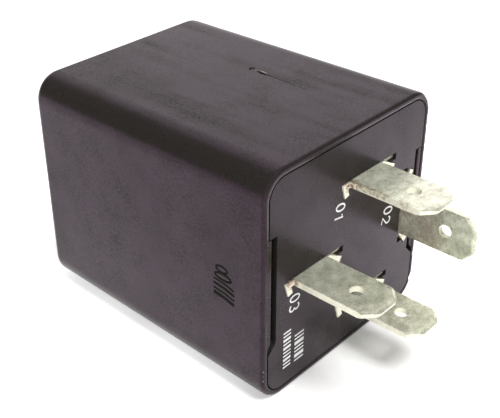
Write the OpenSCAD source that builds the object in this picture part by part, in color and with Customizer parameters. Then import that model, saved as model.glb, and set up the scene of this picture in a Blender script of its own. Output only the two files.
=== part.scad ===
// Plug-in flasher relay with four push-on blades.
// The base plate's outer face is the plane X = 0 and the blades leave it along +X.
// The body lies on one long side with +Z up and Y across, and the origin is the
// middle of the base plate's outer face.

/* [Cover] */
// Length of the cover, from its rim to its closed end
case_len = 39.8; // [39:0.1:44]
// Width and height of the square cover at its rim
case_w = 31.5; // [31.5:0.1:33]
// Radius of the cover's four long corners
corner_r = 3.5; // [3.2:0.1:4.5]
// Rounding of the edges at the closed end
end_round = 1.25; // [0.6:0.05:2]
// Mould draft: how much narrower the closed end is
draft_y = 0.9; // [0.4:0.05:1]
// Mould draft: how much lower the closed end is
draft_z = 0.74; // [0.4:0.02:1]
// Wall of the rim that frames the base plate
rim_wall = 0.9; // [0.8:0.05:1]
// Wall of the long sides, behind the base plate
side_wall = 1.2; // [1.1:0.05:1.3]
// Wall of the closed end
end_wall = 1.4; // [1:0.1:2]
// Thickness of the two guide pads that enter the base plate's notches
pad_t = 0.7; // [0.5:0.05:0.8]
// Width of the guide pads
pad_w = 15; // [12:0.5:16]

/* [Base plate] */
// Thickness of the base plate
plate_t = 2.6; // [2.2:0.1:2.8]
// Gap between the base plate's edge and the rim
plate_gap = 0.12; // [0.08:0.01:0.2]
// Depth of the base plate's two side notches
notch_depth = 1.3; // [1.1:0.05:1.4]
// Height of the posts that carry the circuit board
post_h = 2.4; // [2.4:0.1:3]

/* [Blades] */
// Width of a blade
blade_w = 6.3; // [6.2:0.05:6.4]
// Thickness of a blade
blade_t = 0.8; // [0.75:0.01:0.85]
// Length of a blade outside the base plate
blade_len = 11.1; // [10:0.1:12]
// Diameter of the detent hole in a blade
detent_d = 1.8; // [1.6:0.05:2]
// Distance of the detent hole from the base plate
detent_at = 6.8; // [6:0.1:7.4]

/* [Circuit board] */
// Side of the square circuit board
board_w = 27; // [26.6:0.1:27.4]
// Thickness of the circuit board
board_t = 1.6; // [1.4:0.1:1.6]

/* [Relay] */
// Distance from the circuit board to the pole face of the coil core
relay_h = 21.2; // [18:0.1:22]
// Diameter of the coil winding
winding_d = 11.2; // [9:0.1:11.6]
// Angle by which the armature stands open at rest
open_angle = 4; // [3:0.1:4.5]

/* [Hidden] */
$fn = 48;

half_w = case_w / 2;
rim_in = half_w - rim_wall;                 // inner half width of the rim
ledge_x = -(plate_t + 0.1);                 // ledge of the cover behind the plate
pad_end_x = -8;                             // inner end of the guide pads
pad_start_x = -0.1;
plate_half = rim_in - plate_gap;
notch_y = plate_half - notch_depth;
solder_x = -(plate_t + post_h);             // solder side of the board
board_x = solder_x - board_t;               // component side of the board
post_at = 11.8;                             // posts, from the middle both ways
post_r = 1.5;
peg_r = 0.7;                                // pegs on the posts, through the board
far = 100;                                  // past everything, for a cut that runs right through
over = 1;                                   // how far a cutter stands out of what it cuts

// Blades: [across, up, turn about X, how far the board tail is off the blade's middle]
ground_at = [2.65, 8.6, 0, 0];
supply_at = [2.65, -8.9, 0, 0];
pilot_at = [-7.4, -0.05, 0, 0];
output_at = [11.45, -0.6, 90, 2];
blades_at = [ground_at, supply_at, pilot_at, output_at];
// Ears beside a blade's root: [straight part, bent leg, angle of the bend]
high_ear = [0.2, 2.7, 28];
low_ear = [0.95, 1.5, 105];
upright_low_ear = [0.1, 2, 38];
ear_depth = 0.5;                            // how far the bent ears reach into the plate
ear_proud = 0.15;                           // and how far they stand out of it
shoulder_low = 1.5;                         // shoulder in the plate, past the blade's low edge
shoulder_high = 3.1;                        // and past its high edge
lock_t = 1.2;                               // length of the wider lock behind the plate
lock_out = 0.6;                             // and how far it stands past the shoulder
tail_w = 2.4;                               // tail that goes through the board

// Relay: the coil stands on the board, and everything is placed from its axis.
coil_y = -4.5;
coil_z = 3.3;
coil_at = [coil_y, coil_z];
core_r = 2.5;
core_foot_r = 1.6;                          // core's foot, riveted into the yoke
pole_r = 4;
pole_t = 1.2;
yoke_t = 1.5;
yoke_w = 12;
foot_x = board_x - 0.2;                     // board side of the yoke's foot
pole_x = board_x - relay_h;
yoke_in = coil_z + yoke_w / 2 + 0.3;        // inner face of the yoke's leg
yoke_out = yoke_in + yoke_t;
pole_gap = 0.05;                            // clearance of the closed armature
arm_t = 1.4;
leaf_t = 0.25;
leaf_x = pole_x - pole_gap - arm_t;         // closed armature's outer face
leaf_end = -7.2;                            // free end of the leaf
rivet_r = 0.65;
contact_z = -5.4;
contact_at = [coil_y, contact_z];
post_contact_x = pole_x + 1.2;              // outer face of the fixed contact's flange
shank_r = 0.6;                              // shanks of the contact rivets
strip_t = 0.8;                              // contact strips
strip_w = 4;
foot_w = 1.2;                               // feet of the strips and of the yoke, in the board
strip_foot_at = 1.3;                        // a strip's feet, from its middle
yoke_foot_at = 4;
post_z = -8;                                // middle of the fixed contact's strip
stop_z = -10.2;                             // middle of the stop's strip
spring_z = 12.4;                            // axis of the return spring
hook_at = [coil_y, spring_z];
lug_x = board_x - 11;                       // hook lug on the yoke
tail_t = 0.8;                               // the lug and the armature's thinned tail
tail_x = pole_x - pole_gap - tail_t / 2;    // middle of the tail, armature closed
hook_hole_r = 0.5;

// Components on the board: [across, up]
chip_at = [8.4, -4.6];
can_at = [8.6, 6.7];
film_at = [6.6, -12.1];
shunt_at = [5.9, 12.4];
diode_at = [2.9, -1];
resistor_at = [[-3.6, -12.1], [-12.2, 5.2], [-12.2, -3.4]];
resistor_turn = [0, 90, 90];                // 0 lies across and 90 lies upwards
resistor_pitch = [8.9, 6.4, 6.4];
lead_r = 0.3;
hole_r = 0.4;
shunt_r = 0.5;
shunt_pitch = 6;
film_pitch = 5;
diode_pitch = 7.6;
can_pitch = 3.5;
chip_pitch = 2.54;
chip_half_row = 3.81;                       // half the distance between the chip's two rows
lead_end_x = solder_x + 0.7;                // lead ends on the solder side
can_r = 3.84;
can_h = 12;

// The two places a pitch apart about at, across or upwards, or the two ends of a span.
function across(at, pitch) = [for (s = [-1, 1]) [at[0] + s * pitch / 2, at[1]]];
function upwards(at, pitch) = [for (s = [-1, 1]) [at[0], at[1] + s * pitch / 2]];
function span(middle, width) = [middle - width / 2, middle + width / 2];

coil_leads = across([coil_y, coil_z - 7.5], 6.8);
chip_leads = [for (s = [-1, 1], i = [0:3])
    [chip_at[0] + s * chip_half_row, chip_at[1] + (i - 1.5) * chip_pitch]];
can_leads = upwards(can_at, can_pitch);
film_leads = across(film_at, film_pitch);
shunt_leads = across(shunt_at, shunt_pitch);
diode_leads = upwards(diode_at, diode_pitch);
resistor_leads_at = [for (i = [0:2]) each resistor_turn[i] == 0
    ? across(resistor_at[i], resistor_pitch[i]) : upwards(resistor_at[i], resistor_pitch[i])];
thin_leads = concat(coil_leads, can_leads, film_leads, diode_leads, resistor_leads_at);
strip_feet = [for (z = [post_z, stop_z]) each across([coil_y, z], 2 * strip_foot_at)];
yoke_feet = across([coil_y, yoke_in + yoke_t / 2], 2 * yoke_foot_at);

// ---------------------------------------------------------------- helpers

// Turns a flat outline so that its x lies along Y and its y along Z, from x0 to x1.
module slab(x0, x1) {
    translate([x0, 0, 0]) rotate([90, 0, 90]) linear_extrude(x1 - x0) children();
}

// A cylinder along X.
module rod(x0, x1, r, at = [0, 0], r2 = -1) {
    translate([x0, at[0], at[1]]) rotate([0, 90, 0])
        cylinder(h = x1 - x0, r1 = r, r2 = r2 < 0 ? r : r2);
}

module box(x, y, z) {
    translate([x[0], y[0], z[0]]) cube([x[1] - x[0], y[1] - y[0], z[1] - z[0]]);
}

module rounded_square(w, h, r) {
    square([w - 2 * r, h], center = true);
    square([w, h - 2 * r], center = true);
    for (sy = [-1, 1], sz = [-1, 1])
        translate([sy * (w / 2 - r), sz * (h / 2 - r)]) circle(r);
}

function reversed(p) = [for (i = [len(p) - 1:-1:0]) p[i]];

// The outline that half makes with its own reflection in the y axis.
module mirrored_polygon(half) {
    polygon(concat(half, [for (p = reversed(half)) [-p[0], p[1]]]));
}

// Sweeps a regular section along a path, turning it no more than the path does.
function unit(v) = v / norm(v);
function tangent(p, i) = unit(p[min(i + 1, len(p) - 1)] - p[max(i - 1, 0)]);
function square_to(v, t) = unit(v - (v * t) * t);
function side_vectors(p, start) = [for (i = 0, n = square_to(start, tangent(p, 0));
    i < len(p); i = i + 1, n = square_to(n, tangent(p, i))) n];
module sweep(path, wide, thick, sides, start) {
    n = side_vectors(path, start);
    points = [for (i = [0:len(path) - 1], k = [0:sides - 1])
        let (a = 360 * (k + 0.5) / sides, b = cross(tangent(path, i), n[i]))
        path[i] + wide * cos(a) * n[i] + thick * sin(a) * b];
    rings = len(path) - 1;
    walls = [for (i = [0:rings - 1], k = [0:sides - 1])
        let (a = i * sides + k, b = i * sides + (k + 1) % sides)
        [a, a + sides, b + sides, b]];
    first = [for (k = [0:sides - 1]) k];
    last = [for (k = [sides - 1:-1:0]) rings * sides + k];
    polyhedron(points, concat(walls, [first], [last]), convexity = 10);
}

// Everything on the armature is drawn closed and opened about the yoke's outer edge.
module opened() {
    translate([pole_x, 0, yoke_out]) rotate([0, open_angle, 0])
        translate([-pole_x, 0, -yoke_out]) children();
}

// ---------------------------------------------------------------- cover

// A thin slice of the cover's outside at x, pulled in by inset.
slice_t = 0.01;
module cover_slice(x, inset) {
    drawn = -x / case_len;
    w = case_w - draft_y * drawn - 2 * inset;
    h = case_w - draft_z * drawn - 2 * inset;
    slab(x - slice_t / 2, x + slice_t / 2) hull()
        for (sy = [-1, 1], sz = [-1, 1])
            translate([sy * (w / 2 - corner_r + inset), sz * (h / 2 - corner_r + inset)])
                circle(corner_r - inset, $fn = 40);
}

// The rim's edge is softly broken, and the closed end is rounded by quarter circles.
module cover_outside() {
    rim_slices = [[-slice_t / 2, 0.3], [-0.1, 0.1], [-0.35, 0]];
    hull() {
        for (s = rim_slices) cover_slice(s[0], s[1]);
        for (a = [0:18:90])
            cover_slice(-case_len + slice_t / 2 + end_round * (1 - sin(a)), end_round * (1 - cos(a)));
    }
}

// A guide pad is square at its upper end and sloped at its lower end.
module pad_outline() {
    outer_y = half_w - 0.4;
    inner_y = rim_in - pad_t;
    polygon([[outer_y, pad_w / 2], [inner_y, pad_w / 2], [inner_y, -pad_w / 2 + 0.4],
        [outer_y, -pad_w / 2 - 1]]);
}

module cover() {
    color([0.13, 0.12, 0.14]) {
        difference() {
            cover_outside();
            hull() {
                cover_slice(over, side_wall);
                cover_slice(end_wall - case_len, side_wall);
            }
            slab(ledge_x, over) rounded_square(2 * rim_in, 2 * rim_in, corner_r - rim_wall);
        }
        for (side = [0, 1]) mirror([0, side, 0]) slab(pad_end_x, pad_start_x) pad_outline();
    }
}

// ---------------------------------------------------------------- base plate

module notch_outline() {
    polygon([[half_w, pad_w / 2 + 0.15], [notch_y, pad_w / 2 + 0.15],
        [notch_y, -pad_w / 2 + 0.2], [plate_half, -pad_w / 2 - 1.2], [half_w, -pad_w / 2 - 1.2]]);
}

module at_blade(at) {
    translate([0, at[0], at[1]]) rotate([at[2], 0, 0]) children();
}

// Width of a blade's shoulder inside the plate, with grow all round.
function shoulder(grow) = [-blade_w / 2 - shoulder_low - grow, blade_w / 2 + shoulder_high + grow];

// The plate has a slot for each blade, and a recess round its bent ears. Pegs on the
// four posts go through the board and are melted over behind it.
module base_plate() {
    slot_gap = 0.05;
    ear_gap = 0.1;
    melted_t = 0.6;
    color([0.16, 0.15, 0.17]) {
        difference() {
            slab(-plate_t, 0)
                rounded_square(2 * plate_half, 2 * plate_half, corner_r - rim_wall - plate_gap);
            for (side = [0, 1]) mirror([0, side, 0]) slab(-plate_t - over, over) notch_outline();
            for (at = blades_at) at_blade(at) {
                box([-plate_t - over, over], shoulder(slot_gap), span(0, blade_t + 2 * slot_gap));
                slab(-ear_depth - ear_gap, over) root_outline(at, ear_gap);
            }
        }
        for (sy = [-1, 1], sz = [-1, 1]) {
            post = [sy * post_at, sz * post_at];
            rod(solder_x, -plate_t, post_r, post);
            rod(board_x, solder_x, peg_r, post);
            rod(board_x - melted_t, board_x, peg_r + 0.1, post, peg_r + 0.5);
        }
    }
}

// ---------------------------------------------------------------- blades

// One ear, drawn from the blade's edge outwards along +x: straight, then bent down.
module ear_outline(ear, grow) {
    straight = ear[0];
    leg = ear[1];
    angle = ear[2];
    t = blade_t / 2 + grow;
    root = 0.5;
    translate([-root, -t]) square([straight + root, 2 * t]);
    translate([straight, 0]) {
        circle(t, $fn = 32);
        rotate(-angle) translate([0, -t]) square([leg + grow, 2 * t]);
    }
}

// Section of a blade at its root, with both ears bent: the high side slopes, and the
// low side is bent down hard, except on the upright blade, where it slopes too.
module root_outline(at, grow) {
    square([blade_w, blade_t + 2 * grow], center = true);
    translate([blade_w / 2, 0]) ear_outline(high_ear, grow);
    mirror([1, 0]) translate([blade_w / 2, 0])
        ear_outline(at[2] == 0 ? low_ear : upright_low_ear, grow);
}

// Blade outside the plate, with both corners of its tip cut off.
module blade_outline() {
    cut_x = 1.4;
    cut_y = 1.25;
    tip_x = 0.25;
    tip_y = 0.5;
    edge = [[-ear_depth, 0], [blade_len - cut_x, 0], [blade_len - tip_x, cut_y],
        [blade_len, cut_y + tip_y]];
    polygon(concat([for (p = edge) [p[0], p[1] - blade_w / 2]],
        [for (p = reversed(edge)) [p[0], blade_w / 2 - p[1]]]));
}

// A cutter that bevels an edge at the origin, seen from above: it faces along +x.
module bevel_cutter(width) {
    bevel_angle = 24;
    rotate([0, bevel_angle, 0]) translate([0, -width / 2, 0]) cube([3, width, 1]);
}

module blade(at) {
    bevel_len = 0.6;
    corner_bevel_at = [blade_len - 1.1, blade_w / 2 - 0.9];
    corner_angle = 42;
    thick = span(0, blade_t);
    color([0.72, 0.72, 0.66]) at_blade(at) {
        difference() {
            linear_extrude(blade_t, center = true) blade_outline();
            translate([detent_at, 0, -over]) cylinder(h = 2 * over, r = detent_d / 2);
            for (face = [0, 1]) mirror([0, 0, face]) translate([0, 0, blade_t / 2]) {
                translate([blade_len - bevel_len, 0, 0]) bevel_cutter(10);
                for (side = [0, 1]) mirror([0, side, 0])
                    translate(corner_bevel_at) rotate(corner_angle) bevel_cutter(4);
            }
        }
        slab(-ear_depth, ear_proud) root_outline(at, 0);
        box([-plate_t, -ear_depth], shoulder(0), thick);
        box([-plate_t - lock_t, -plate_t], shoulder(lock_out), thick);
        box([board_x + 0.1, -plate_t - lock_t], span(at[3], tail_w), thick);
    }
}

module blade_ground() { blade(ground_at); }
module blade_output() { blade(output_at); }
module blade_pilot_lamp() { blade(pilot_at); }
module blade_supply() { blade(supply_at); }

// ---------------------------------------------------------------- circuit board

module rect_hole(at, w, h, gap) {
    translate(at) square([w + 2 * gap, h + 2 * gap], center = true);
}

module circuit_board() {
    fit = 0.1;
    peg_fit = 0.05;
    corner = 1.5;
    color([0.72, 0.6, 0.36]) slab(board_x, solder_x) difference() {
        rounded_square(board_w, board_w, corner);
        for (sy = [-1, 1], sz = [-1, 1])
            translate([sy * post_at, sz * post_at]) circle(peg_r + peg_fit);
        for (at = concat(thin_leads, chip_leads)) translate(at) circle(hole_r, $fn = 24);
        for (at = shunt_leads) translate(at) circle(shunt_r + fit, $fn = 24);
        for (at = concat(strip_feet, yoke_feet)) rect_hole(at, foot_w, strip_t, fit);
        for (at = blades_at)
            translate([at[0], at[1]]) rotate(at[2]) rect_hole([at[3], 0], tail_w, blade_t, fit);
    }
}

// A cone of solder round a lead or a foot, from the board towards the base plate.
module fillet(at, r, height) {
    rod(solder_x, solder_x + height, r, at, r * 0.45);
}

// Fillets at the given places, each cut by the lead's outline that is passed in.
module fillets(places, r, height) {
    difference() {
        for (at = places) fillet(at, r, height);
        for (at = places) slab(solder_x - over, solder_x + over) translate(at) children();
    }
}

module solder_joints() {
    tail_fillet = 0.9;
    color([0.8, 0.8, 0.78]) {
        fillets(thin_leads, 0.85, 0.6) circle(lead_r);
        fillets(chip_leads, 0.7, 0.6) square([pin_t, pin_w], center = true);
        fillets(shunt_leads, 1.2, 0.65) circle(shunt_r);
        fillets(concat(strip_feet, yoke_feet), 1.1, 0.5) square([foot_w, strip_t], center = true);
        for (at = blades_at, side = [0, 1]) at_blade(at)
            mirror([0, 0, side]) translate([0, at[3], blade_t / 2])
                rotate([90, 0, 0]) linear_extrude(tail_w, center = true) polygon([
                    [solder_x, 0], [solder_x + tail_fillet, 0], [solder_x, tail_fillet]]);
    }
}

// ---------------------------------------------------------------- relay

// A foot through the board, reaching back to from_x.
module board_foot(from_x, at) {
    box([from_x, lead_end_x], span(at[0], foot_w), span(at[1], strip_t));
}

// An L of strip: its foot carries the core and its leg carries the armature, which
// hinges on the leg's end between two horns. A lug on the leg holds the return spring.
module relay_yoke() {
    horn_w = 1.2;
    horn_past = 0.2;
    lug_w = 2.6;
    foot_low_z = coil_z - 6.2;
    wide = span(coil_y, yoke_w);
    leg = [yoke_in, yoke_out];
    color([0.62, 0.6, 0.56]) difference() {
        union() {
            box([flange_low_x, foot_x], wide, [foot_low_z, yoke_out]);
            box([pole_x, foot_x], wide, leg);
            for (y = [wide[0], wide[1] - horn_w])
                box([pole_x - arm_t - horn_past, pole_x], [y, y + horn_w], leg);
            for (at = yoke_feet) board_foot(foot_x - 0.1, at);
            box([lug_x, lug_x + tail_t], span(coil_y, lug_w), [yoke_out, spring_z + 1]);
        }
        rod(flange_low_x - over, foot_x + over, core_foot_r, coil_at);
        rod(lug_x - over, lug_x + tail_t + over, hook_hole_r, hook_at);
    }
}

module coil_core() {
    color([0.6, 0.6, 0.6]) {
        rod(flange_low_x, foot_x, core_foot_r, coil_at);
        rod(flange_top_x, flange_low_x, core_r, coil_at);
        rod(pole_x, flange_top_x, pole_r, coil_at);
    }
}

flange_t = 1.2;
flange_low_x = foot_x - yoke_t;             // board side of the lower flange
flange_top_x = pole_x + pole_t;             // pole side of the upper flange
tube_r = 3.3;                               // bobbin's tube, inside the winding
pin_block_x = flange_low_x - 2.4;           // block on the lower flange that holds the pins

module coil_bobbin() {
    bore_r = core_r + 0.05;
    flange_corner = 1;
    color([0.85, 0.83, 0.76]) difference() {
        union() {
            rod(flange_top_x, flange_low_x, tube_r, coil_at);
            for (x = [flange_top_x, flange_low_x - flange_t])
                slab(x, x + flange_t) translate(coil_at) rounded_square(yoke_w, yoke_w, flange_corner);
            box([pin_block_x, flange_low_x], span(coil_y, 9.2), [coil_z - 8.6, coil_z - 5.8]);
        }
        rod(flange_top_x - over, flange_low_x + over, bore_r, coil_at);
        for (p = coil_leads) rod(pin_block_x - over, flange_low_x + over, lead_r, p);
    }
}

module coil_winding() {
    color([0.66, 0.3, 0.14]) difference() {
        rod(flange_top_x + flange_t, flange_low_x - flange_t, winding_d / 2, coil_at);
        rod(flange_top_x, flange_low_x, tube_r, coil_at);
    }
}

module coil_pins() {
    stub = 0.8;
    color([0.78, 0.78, 0.74])
        for (p = coil_leads) rod(pin_block_x - stub, lead_end_x, lead_r, p);
}

// Outline of the armature seen along X: a wide plate, a neck between the yoke's
// horns, and a narrow tail that the return spring pulls.
module armature() {
    wide = yoke_w / 2 - 0.2;
    neck = yoke_w / 2 - 1.45;
    tail = 1.5;
    neck_z = yoke_in - 0.3;
    free_z = coil_z - 5.5;
    shoulder_z = yoke_out + 0.3;
    tail_z = yoke_out + 0.9;
    top_z = spring_z + 1;
    half = [[wide, free_z], [wide, neck_z], [neck, neck_z], [neck, shoulder_z], [tail, tail_z],
        [tail, top_z]];
    color([0.7, 0.69, 0.64]) opened() difference() {
        slab(leaf_x, pole_x - pole_gap) translate([coil_y, 0]) mirrored_polygon(half);
        box([leaf_x - over, tail_x - tail_t / 2], span(coil_y, 6), [tail_z - 0.3, far]);
        rod(leaf_x - over, pole_x + over, hook_hole_r, hook_at);
        for (p = rivets_at) rod(leaf_x - over, pole_x + over, rivet_r, p);
    }
}

rivets_at = across([coil_y, yoke_in - 1.4], 3.2);

module contact_leaf() {
    root = 2.6;
    tip = 1.5;
    root_z = yoke_in - 0.2;
    taper_z = yoke_in - 4;
    neck_z = coil_z - 4;
    half = [[tip, leaf_end], [tip, neck_z], [root, taper_z], [root, root_z]];
    color([0.8, 0.62, 0.36]) opened() difference() {
        slab(leaf_x - leaf_t, leaf_x) translate([coil_y, 0]) mirrored_polygon(half);
        for (p = rivets_at) rod(leaf_x - over, leaf_x + over, rivet_r, p);
        rod(leaf_x - over, leaf_x + over, shank_r, contact_at);
    }
}

module leaf_rivets() {
    head_t = 0.45;
    color([0.78, 0.77, 0.72]) opened() for (p = rivets_at) {
        rod(leaf_x - leaf_t, pole_x - pole_gap, rivet_r, p);
        rod(leaf_x - leaf_t - head_t, leaf_x - leaf_t, rivet_r + 0.15, p, rivet_r + 0.5);
    }
}

// A contact rivet along X: head, coned tip towards the mating contact, and shank.
module contact_button(face_x, tip_x, shank_x) {
    head_r = 1.2;
    cone_t = 0.25;
    way = sign(tip_x - face_x);
    rise = abs(tip_x - face_x);
    translate([face_x, coil_y, contact_z]) rotate([0, 90 * way, 0]) {
        cylinder(h = rise - cone_t, r = head_r);
        translate([0, 0, rise - cone_t]) cylinder(h = cone_t, r1 = head_r, r2 = 0.7);
    }
    rod(min(face_x, shank_x), max(face_x, shank_x), shank_r, contact_at);
}

contact_touch_x = post_contact_x - 0.75;    // where the two closed contacts meet

module moving_contact() {
    upset_t = 0.3;
    color([0.86, 0.86, 0.84]) opened() {
        contact_button(leaf_x, contact_touch_x - 0.03, leaf_x - leaf_t);
        rod(leaf_x - leaf_t - upset_t, leaf_x - leaf_t, shank_r, contact_at, shank_r + 0.35);
    }
}

// A flat strip that stands on the board with two feet and is bent over at its end.
module bent_strip(z, end_x, reach_z) {
    wide = span(coil_y, strip_w);
    thick = span(z, strip_t);
    box([end_x, board_x], wide, thick);
    box([end_x, end_x + strip_t], wide, [thick[0], reach_z]);
    for (at = across([coil_y, z], 2 * strip_foot_at)) board_foot(board_x, at);
}

module fixed_contact_post() {
    color([0.82, 0.64, 0.3]) difference() {
        bent_strip(post_z, post_contact_x, contact_z + 1.6);
        rod(post_contact_x - over, post_contact_x + strip_t + over, shank_r, contact_at);
    }
}

module fixed_contact() {
    color([0.86, 0.86, 0.84])
        contact_button(post_contact_x, contact_touch_x + 0.02, post_contact_x + strip_t);
}

// The stop stands behind the leaf's tip, just clear of it when the armature is open.
tip_swing = (yoke_out - leaf_end) * sin(open_angle);
stop_gap = 0.12;
stop_x = leaf_x - leaf_t - tip_swing - stop_gap;

module armature_stop() {
    color([0.82, 0.64, 0.3]) bent_strip(stop_z, stop_x - strip_t, leaf_end + 0.6);
}

// Return spring: a close-wound body with a loop through the yoke's lug and one
// through the armature's tail, where the open armature has it.
spring_r = 0.85;
wire_r = 0.15;
spring_turns = 15;
steps = 12;                                 // points in one turn
spring_pitch = 0.36;
spring_len = spring_turns * spring_pitch;
loop_r = 0.85;
loop_up = 0.65;                             // loop's middle above the spring's axis
lug_mid_x = lug_x + tail_t / 2;
tail_mid_x = pole_x + (tail_x - pole_x) * cos(open_angle) + (spring_z - yoke_out) * sin(open_angle);
spring_mid_x = (lug_mid_x + tail_mid_x) / 2;

// Wire from the end of the coil to a loop round the edge of a lug at x_loop. It goes
// over the edge and comes back through the hole.
function hook(x_coil, x_loop) = let (way = sign(x_loop - x_coil)) [
    [x_coil + way * 0.4, 0.5, 0.05],
    [x_coil + way * 0.8, 0.1, 0.1],
    for (b = [195:-25:-120]) [x_loop + way * loop_r * cos(b), 0, loop_up + loop_r * sin(b)]];

spring_path = concat(
    reversed(hook(spring_mid_x + spring_len / 2, lug_mid_x)),
    [for (i = [0:steps * spring_turns]) let (a = i * 360 / steps)
        [spring_mid_x + spring_len / 2 - i * spring_pitch / steps,
            spring_r * cos(a), spring_r * sin(a)]],
    hook(spring_mid_x - spring_len / 2, tail_mid_x));

module return_spring() {
    color([0.7, 0.7, 0.7]) translate([0, coil_y, spring_z])
        sweep(spring_path, wire_r, wire_r, 6, [0, 0, 1]);
}

// Braid from the yoke's leg round the hinge to the leaf's root: [along X, up].
braid_route = [[-20.5, 11.45], [-22.5, 11.45], [-24, 11.7], [-25.6, 12.3], [-27.2, 13],
    [-28.8, 13.2], [-30.2, 12.8], [-31.1, 12], [-31.4, 10.9], [-31.1, 9.7], [-30.6, 8.8],
    [-30.15, 8.1]];
braid_y = coil_y + 3.4;
braid_half_w = 0.8;
braid_half_t = 0.35;

module contact_braid() {
    color([0.72, 0.4, 0.2]) sweep([for (p = braid_route) [p[0], braid_y, p[1]]],
        braid_half_w, braid_half_t, 8, [0, 1, 0]);
}

// ---------------------------------------------------------------- board parts

// A lead from the board to the plane x_axis, where it bends towards +Y.
module bent_lead(x_axis, reach, r) {
    bend = 0.8;
    rod(x_axis + bend, lead_end_x, r);
    translate([x_axis + bend, bend, 0]) rotate([0, 0, 180]) rotate_extrude(angle = 90)
        translate([bend, 0]) circle(r, $fn = 24);
    translate([x_axis, bend, 0]) rotate([-90, 0, 0]) cylinder(h = reach - bend, r = r, $fn = 24);
}

// Two leads facing each other, ending against a body of length body_len.
module lead_pair(at, turn, pitch, body_len, x_axis, r) {
    translate([0, at[0], at[1]]) rotate([turn, 0, 0]) for (side = [0, 1]) mirror([0, side, 0])
        translate([0, -pitch / 2, 0]) bent_lead(x_axis, (pitch - body_len) / 2, r);
}

// A resistor's body, thicker over its two end caps. Its axis lies along Y before turn.
module lying_body(at, turn, x_axis, length, r) {
    face_r = r * 0.8;
    waist_r = r * 0.86;
    cap = [[face_r, 0], [r, 0.35], [r, 1.3], [waist_r, 1.7]];
    translate([x_axis, at[0], at[1]]) rotate([turn, 0, 0]) rotate([-90, 0, 0])
        translate([0, 0, -length / 2]) rotate_extrude() polygon(concat([[0, 0]], cap,
            [for (p = reversed(cap)) [p[0], length - p[1]]], [[0, length]]));
}

resistor_len = [6.2, 4.2, 4.2];
resistor_r = [1.15, 0.95, 0.95];
resistor_x = board_x - 1.4;

module resistors() {
    color([0.78, 0.68, 0.48]) for (i = [0:2])
        lying_body(resistor_at[i], resistor_turn[i], resistor_x, resistor_len[i], resistor_r[i]);
}

module resistor_leads() {
    color([0.78, 0.78, 0.74]) for (i = [0:2])
        lead_pair(resistor_at[i], resistor_turn[i], resistor_pitch[i], resistor_len[i], resistor_x,
            lead_r);
}

diode_x = board_x - 1.3;
diode_len = 4.6;

module flyback_diode() {
    color([0.1, 0.1, 0.11]) translate([diode_x, diode_at[0], diode_at[1]])
        cylinder(h = diode_len, r = 1, center = true);
}

module flyback_diode_leads() {
    color([0.78, 0.78, 0.74]) lead_pair(diode_at, 90, diode_pitch, diode_len, diode_x, lead_r);
}

chip_w = 6.3;
chip_l = 9.6;
chip_low_x = board_x - 0.5;
chip_top_x = chip_low_x - 3.3;
chip_mid_x = (chip_low_x + chip_top_x) / 2;
pin_t = 0.25;
pin_w = 0.46;                               // pin through the board
pin_shoulder_w = 1.5;                       // and above it
pin_shoulder_x = board_x - 0.3;

// Both long sides slope away from the parting line. A notch and a dot mark pin 1's end.
module flasher_chip() {
    draft = 0.25;
    dot_from_edge = 1.3;
    half_section = [[chip_low_x, chip_w / 2 - draft], [chip_mid_x, chip_w / 2],
        [chip_top_x, chip_w / 2 - draft]];
    color([0.12, 0.12, 0.13]) translate([0, chip_at[0], chip_at[1]]) difference() {
        linear_extrude(chip_l, center = true) polygon(concat(half_section,
            [for (p = reversed(half_section)) [p[0], -p[1]]]));
        rod(chip_top_x - over, chip_top_x + 0.3, 0.9, [0, chip_l / 2]);
        rod(chip_top_x - over, chip_top_x + 0.15, 0.45,
            [dot_from_edge - chip_w / 2, chip_l / 2 - dot_from_edge]);
    }
}

module flasher_chip_pins() {
    row = span(chip_half_row, pin_t);
    color([0.8, 0.8, 0.77]) for (side = [0, 1], i = [0:3])
        translate([0, chip_at[0], chip_at[1] + (i - 1.5) * chip_pitch]) mirror([0, side, 0]) {
            box(span(chip_mid_x, pin_t), [chip_w / 2, row[1]], span(0, pin_shoulder_w));
            box([chip_mid_x - pin_t / 2, pin_shoulder_x], row, span(0, pin_shoulder_w));
            box([pin_shoulder_x, lead_end_x], row, span(0, pin_w));
        }
}

can_low_x = board_x - 0.4;
can_top_x = can_low_x - can_h;
can_wall = 0.3;
sleeve_t = 0.12;

module at_can() {
    translate([can_low_x, can_at[0], can_at[1]]) rotate([0, -90, 0]) children();
}

// Drawn standing, with the open end at z = 0 crimped in below the bung, and a groove
// rolled into the wall above it.
module capacitor_can() {
    groove_z = 1.9;
    groove = 0.35;
    crimp_r = can_r - 0.7;
    inner_r = can_r - can_wall;
    outside = [[crimp_r, 0], [can_r - 0.2, 0], [can_r, 0.25], [can_r, groove_z - 0.5],
        [can_r - groove, groove_z], [can_r, groove_z + 0.5], [can_r, can_h - 0.4],
        [can_r - 0.4, can_h], [0, can_h]];
    inside = [[0, can_h - can_wall], [inner_r - 0.2, can_h - can_wall],
        [inner_r, can_h - can_wall - 0.2], [inner_r, groove_z + 0.6], [inner_r - groove, groove_z],
        [inner_r, groove_z - 0.6], [inner_r, can_wall], [crimp_r, can_wall]];
    color([0.78, 0.78, 0.8]) at_can() rotate_extrude() polygon(concat(outside, inside));
}

module capacitor_foil_roll() {
    roll_z = 2.7;
    color([0.6, 0.6, 0.58]) at_can() translate([0, 0, roll_z])
        cylinder(h = can_h - roll_z - 0.9, r = can_r - 0.55);
}

module capacitor_bung() {
    color([0.1, 0.1, 0.1]) at_can() difference() {
        translate([0, 0, can_wall + 0.05]) cylinder(h = 0.9, r = can_r - can_wall - 0.02);
        for (s = [-1, 1]) translate([s * can_pitch / 2, 0, 0]) cylinder(h = 5, r = lead_r);
    }
}

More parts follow.
